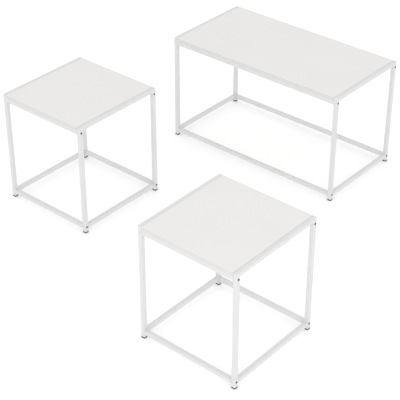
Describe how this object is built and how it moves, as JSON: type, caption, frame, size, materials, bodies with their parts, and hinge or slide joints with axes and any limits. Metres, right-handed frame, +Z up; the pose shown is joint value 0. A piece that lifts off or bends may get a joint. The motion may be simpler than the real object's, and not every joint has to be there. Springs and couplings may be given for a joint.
{
  "type": "nesting tables",
  "caption": "Modular set of open-framed low tables: square-tube end frames bolted to long rails, with white boards level with the frame tops; the side tables stand loose beside the long one.",
  "frame": {"origin": "bottom centre of the box round the whole set, on the floor", "axes": "+X along the long side of the coffee table, +Y from the side tables to the coffee table, +Z up"},
  "size_m": [1.3704, 1.48, 0.45],
  "materials": {
    "white_powder_coat": "satin powder coat, slightly cool white",
    "white_board": "wood-fibre board with a smooth matt white face, slightly warm",
    "black_foot": "moulded plastic, matt black",
    "dark_bolt": "blackened steel",
    "zinc_steel": "zinc-plated steel"
  },
  "bodies": {
    "coffee_table": {"coffee_table_back_lower_long_rail": "white_powder_coat", "coffee_table_back_upper_long_rail": "white_powder_coat", "coffee_table_frame_bolts": "dark_bolt", "coffee_table_front_lower_long_rail": "white_powder_coat", "coffee_table_front_upper_long_rail": "white_powder_coat", "coffee_table_left_back_foot": "black_foot", "coffee_table_left_back_leg": "white_powder_coat", "coffee_table_left_front_foot": "black_foot", "coffee_table_left_front_leg": "white_powder_coat", "coffee_table_left_lower_end_rail": "white_powder_coat", "coffee_table_left_upper_end_rail": "white_powder_coat", "coffee_table_panel_screws": "zinc_steel", "coffee_table_right_back_foot": "black_foot", "coffee_table_right_back_leg": "white_powder_coat", "coffee_table_right_front_foot": "black_foot", "coffee_table_right_front_leg": "white_powder_coat", "coffee_table_right_lower_end_rail": "white_powder_coat", "coffee_table_right_upper_end_rail": "white_powder_coat", "coffee_table_threaded_plugs": "zinc_steel", "coffee_table_top_panel": "white_board"},
    "left_side_table": {"left_side_table_back_lower_long_rail": "white_powder_coat", "left_side_table_back_upper_long_rail": "white_powder_coat", "left_side_table_frame_bolts": "dark_bolt", "left_side_table_front_lower_long_rail": "white_powder_coat", "left_side_table_front_upper_long_rail": "white_powder_coat", "left_side_table_left_back_foot": "black_foot", "left_side_table_left_back_leg": "white_powder_coat", "left_side_table_left_front_foot": "black_foot", "left_side_table_left_front_leg": "white_powder_coat", "left_side_table_left_lower_end_rail": "white_powder_coat", "left_side_table_left_upper_end_rail": "white_powder_coat", "left_side_table_panel_screws": "zinc_steel", "left_side_table_right_back_foot": "black_foot", "left_side_table_right_back_leg": "white_powder_coat", "left_side_table_right_front_foot": "black_foot", "left_side_table_right_front_leg": "white_powder_coat", "left_side_table_right_lower_end_rail": "white_powder_coat", "left_side_table_right_upper_end_rail": "white_powder_coat", "left_side_table_threaded_plugs": "zinc_steel", "left_side_table_top_panel": "white_board"},
    "front_side_table": {"front_side_table_back_lower_long_rail": "white_powder_coat", "front_side_table_back_upper_long_rail": "white_powder_coat", "front_side_table_frame_bolts": "dark_bolt", "front_side_table_front_lower_long_rail": "white_powder_coat", "front_side_table_front_upper_long_rail": "white_powder_coat", "front_side_table_left_back_foot": "black_foot", "front_side_table_left_back_leg": "white_powder_coat", "front_side_table_left_front_foot": "black_foot", "front_side_table_left_front_leg": "white_powder_coat", "front_side_table_left_lower_end_rail": "white_powder_coat", "front_side_table_left_upper_end_rail": "white_powder_coat", "front_side_table_panel_screws": "zinc_steel", "front_side_table_right_back_foot": "black_foot", "front_side_table_right_back_leg": "white_powder_coat", "front_side_table_right_front_foot": "black_foot", "front_side_table_right_front_leg": "white_powder_coat", "front_side_table_right_lower_end_rail": "white_powder_coat", "front_side_table_right_upper_end_rail": "white_powder_coat", "front_side_table_threaded_plugs": "zinc_steel", "front_side_table_top_panel": "white_board"}
  },
  "joints": [
    {"name": "left_side_table_slide", "type": "slide", "parent": "coffee_table", "child": "left_side_table", "axis": [0.4021, 0.9156, 0], "range_m": [0, 0.40411]},
    {"name": "front_side_table_slide", "type": "slide", "parent": "coffee_table", "child": "front_side_table", "axis": [-0.5043, 0.8635, 0], "range_m": [0, 0.78629]}
  ]
}
